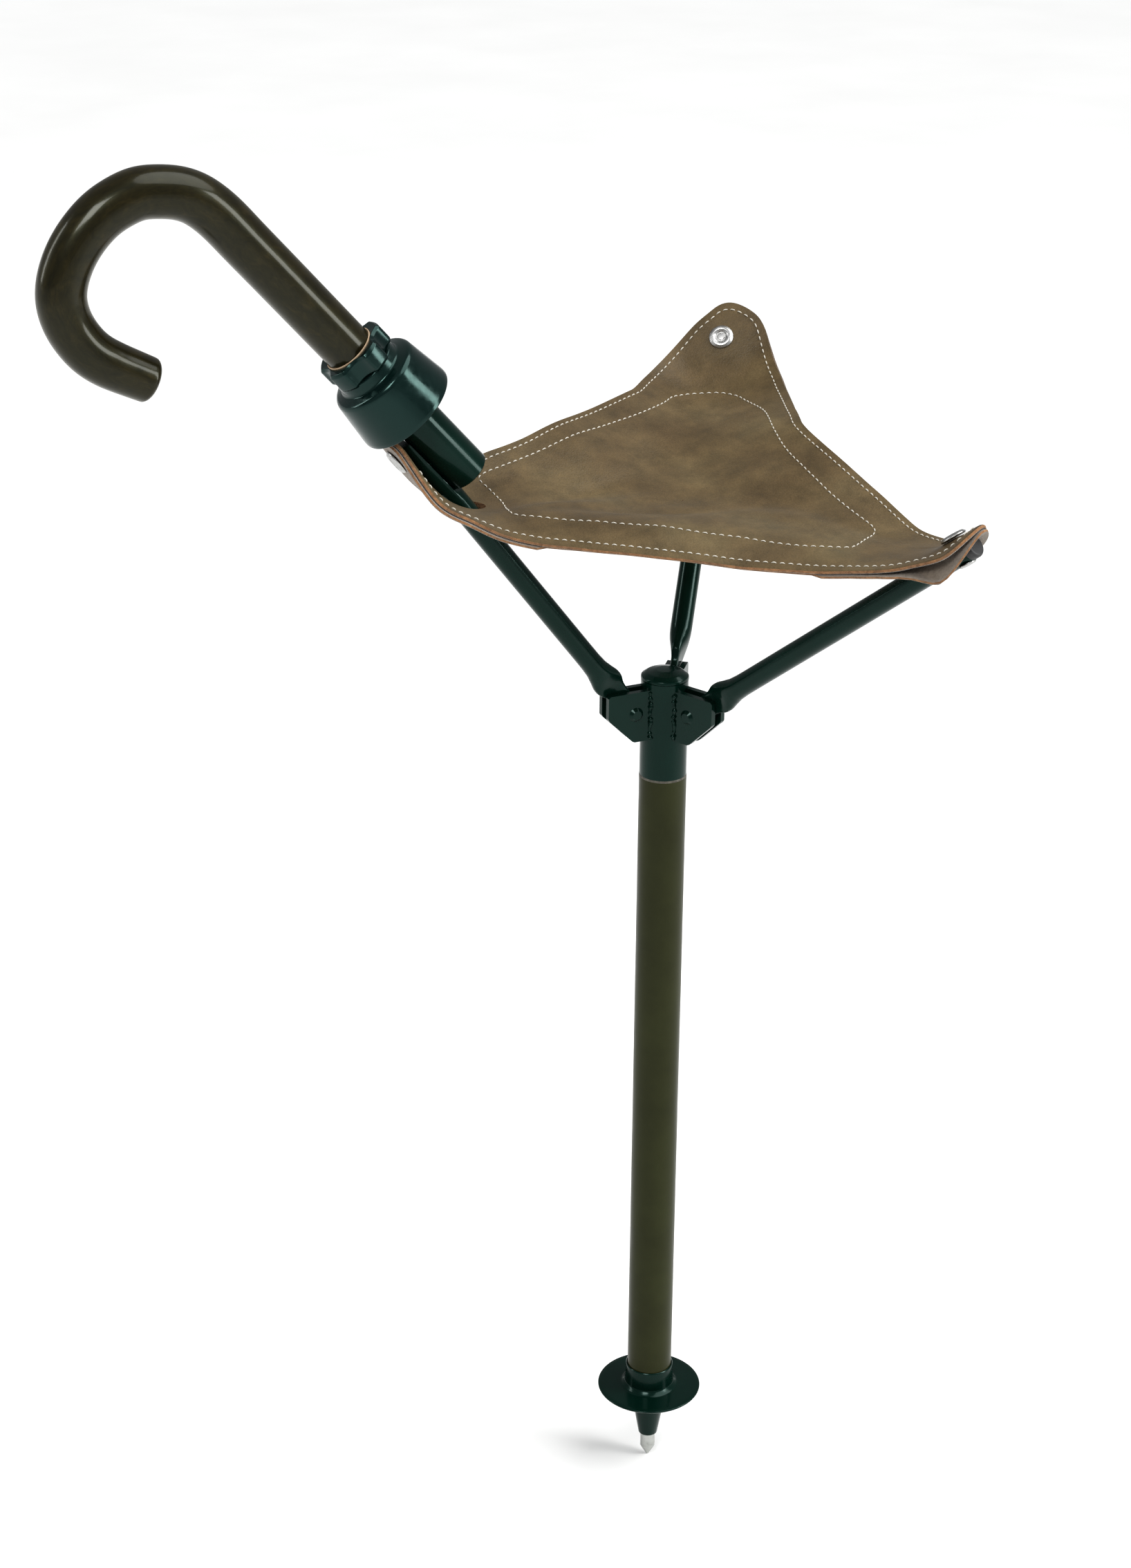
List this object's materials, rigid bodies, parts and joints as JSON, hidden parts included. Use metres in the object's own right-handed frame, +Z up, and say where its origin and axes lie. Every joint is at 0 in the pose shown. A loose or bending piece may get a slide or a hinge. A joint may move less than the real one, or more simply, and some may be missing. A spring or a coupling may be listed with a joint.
{
  "type": "walking stick seat",
  "caption": "Walking stick seat: metal stick with ground spike and plate, folding arms under a leather sling, and a wooden crook handle with a sliding collar.",
  "frame": {"origin": "tip of the ground spike, on the stick's axis", "axes": "+Z up along the stick; -X towards the arm with the crook handle; the other two arms either side of +X"},
  "size_m": [0.4426, 0.3048, 0.8299],
  "materials": {
    "zinc": "dull zinc plate",
    "black_enamel": "gloss black enamel",
    "brown_enamel": "satin dark brown enamel",
    "rivet_nickel": "polished nickel",
    "leather": "waxed brown leather, matt",
    "crook_wood": "dark brown gloss lacquer",
    "collar_plastic": "gloss black moulded plastic",
    "plug_plastic": "matt black moulded plastic"
  },
  "bodies": {
    "stick": {"ground_spike": "zinc", "spike_cone": "black_enamel", "ground_plate": "black_enamel", "shaft_tube": "brown_enamel", "joint_spigot": "zinc", "joint_ring": "black_enamel", "hub_tube": "black_enamel", "hub_cap": "black_enamel", "bracket_1": "black_enamel", "bracket_2": "black_enamel", "bracket_3": "black_enamel", "pivot_pin_1": "rivet_nickel", "pivot_pin_2": "rivet_nickel", "pivot_pin_3": "rivet_nickel"},
    "arm_1": {"arm_rod_1": "black_enamel", "corner_rivet_1": "rivet_nickel", "seat_corner_1": "leather", "handle_socket": "black_enamel", "crook_handle": "crook_wood", "handle_peg": "zinc"},
    "arm_2": {"arm_rod_2": "black_enamel", "tip_plug_2": "plug_plastic", "corner_rivet_2": "rivet_nickel", "seat_corner_2": "leather"},
    "arm_3": {"arm_rod_3": "black_enamel", "tip_plug_3": "plug_plastic", "corner_rivet_3": "rivet_nickel", "seat_corner_3": "leather"},
    "collar": {"collar_cup": "collar_plastic", "collar_grip": "collar_plastic"},
    "panel_12": {"seat_panel_12": "leather"},
    "panel_13": {"seat_panel_13": "leather"},
    "panel_21": {"seat_panel_21": "leather"},
    "panel_23": {"seat_panel_23": "leather"},
    "panel_32": {"seat_panel_32": "leather"},
    "panel_31": {"seat_panel_31": "leather"}
  },
  "joints": [
    {"name": "fold_1", "type": "hinge", "parent": "stick", "child": "arm_1", "pos_m": [-0.0204, 0, 0.5064], "axis": [0, 1, 0], "range_deg": [0, 38.4]},
    {"name": "fold_2", "type": "hinge", "parent": "stick", "child": "arm_2", "pos_m": [0.01276, 0.01592, 0.5064], "axis": [0.7804, -0.6252, 0], "range_deg": [0, 36.52]},
    {"name": "fold_3", "type": "hinge", "parent": "stick", "child": "arm_3", "pos_m": [0.00869, -0.01846, 0.5064], "axis": [-0.9048, -0.4258, 0], "range_deg": [0, 50.42]},
    {"name": "collar_slide", "type": "slide", "parent": "arm_1", "child": "collar", "axis": [-0.6651, 0, 0.7468], "range_m": [0, 0.05]},
    {"name": "crease_12", "type": "hinge", "parent": "arm_1", "child": "panel_12", "pos_m": [-0.12426, 0, 0.64224], "axis": [-0.5556, 0.7176, 0.42], "range_deg": [0, 54.92], "deforming": ["seat_panel_12"]},
    {"name": "crease_13", "type": "hinge", "parent": "arm_1", "child": "panel_13", "pos_m": [-0.12426, 0, 0.64224], "axis": [0.6781, 0.7254, -0.1182], "range_deg": [0, 47.92], "deforming": ["seat_panel_13"]},
    {"name": "crease_21", "type": "hinge", "parent": "arm_2", "child": "panel_21", "pos_m": [0.08909, 0.1112, 0.67956], "axis": [0.1982, -0.8693, -0.4528], "range_deg": [0, 44.4], "deforming": ["seat_panel_21"]},
    {"name": "crease_23", "type": "hinge", "parent": "arm_2", "child": "panel_23", "pos_m": [0.08909, 0.1112, 0.67956], "axis": [0.9268, 0.1401, 0.3484], "range_deg": [0, 45.22], "deforming": ["seat_panel_23"]},
    {"name": "crease_32", "type": "hinge", "parent": "arm_3", "child": "panel_32", "pos_m": [0.07686, -0.16333, 0.64516], "axis": [-0.823, 0.4597, -0.3337], "range_deg": [0, 52.53], "deforming": ["seat_panel_32"]},
    {"name": "crease_31", "type": "hinge", "parent": "arm_3", "child": "panel_31", "pos_m": [0.07686, -0.16333, 0.64516], "axis": [-0.2476, -0.9489, 0.1956], "range_deg": [0, 43.55], "deforming": ["seat_panel_31"]}
  ],
  "couplings": [
    {"joint": "fold_2", "follows": "fold_1", "ratio": 0.95052},
    {"joint": "fold_3", "follows": "fold_1", "ratio": 1.3125},
    {"joint": "crease_12", "follows": "fold_1", "ratio": 1.4298},
    {"joint": "crease_13", "follows": "fold_1", "ratio": 1.2474},
    {"joint": "crease_21", "follows": "fold_1", "ratio": 1.1557},
    {"joint": "crease_23", "follows": "fold_1", "ratio": 1.1771},
    {"joint": "crease_32", "follows": "fold_1", "ratio": 1.3673},
    {"joint": "crease_31", "follows": "fold_1", "ratio": 1.1335}
  ]
}
